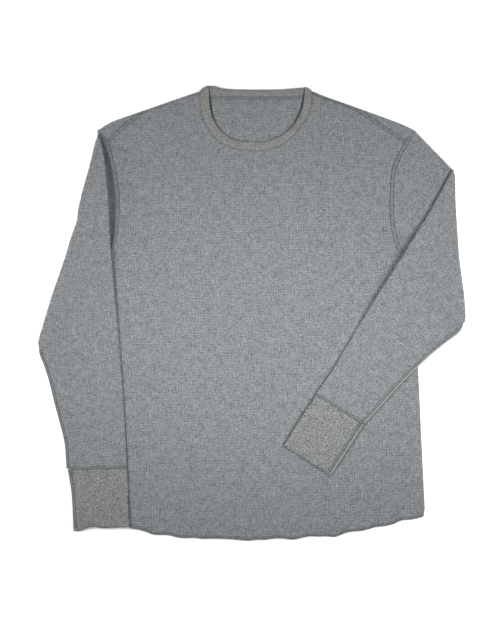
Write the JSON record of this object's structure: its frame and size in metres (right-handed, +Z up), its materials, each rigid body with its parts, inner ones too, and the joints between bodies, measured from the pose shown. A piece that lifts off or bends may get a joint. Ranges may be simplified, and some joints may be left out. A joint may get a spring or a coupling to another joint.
{
  "type": "long-sleeved waffle-knit thermal top, laid flat",
  "caption": "Long-sleeved waffle-knit thermal top lying flat, front up, both sleeves folded forward; rib neckband and rib cuffs, curved overlocked hem.",
  "frame": {"origin": "middle of the laid-out outline, on the surface the top lies on", "axes": "+X to the wearer's left, +Y to the neck, +Z up out of the front"},
  "size_m": [0.7065, 0.7488, 0.0073],
  "materials": {
    "waffle_knit": "heathered blue-grey waffle knit, matt, faint nap",
    "rib_knit": "heathered warm grey rib knit, matt, faint nap"
  },
  "bodies": {
    "root": {"front": "waffle_knit", "back": "waffle_knit", "sleeve_left": "waffle_knit", "sleeve_right": "waffle_knit", "cuff_left": "rib_knit", "cuff_right": "rib_knit", "neckband": "rib_knit"}
  },
  "joints": []
}
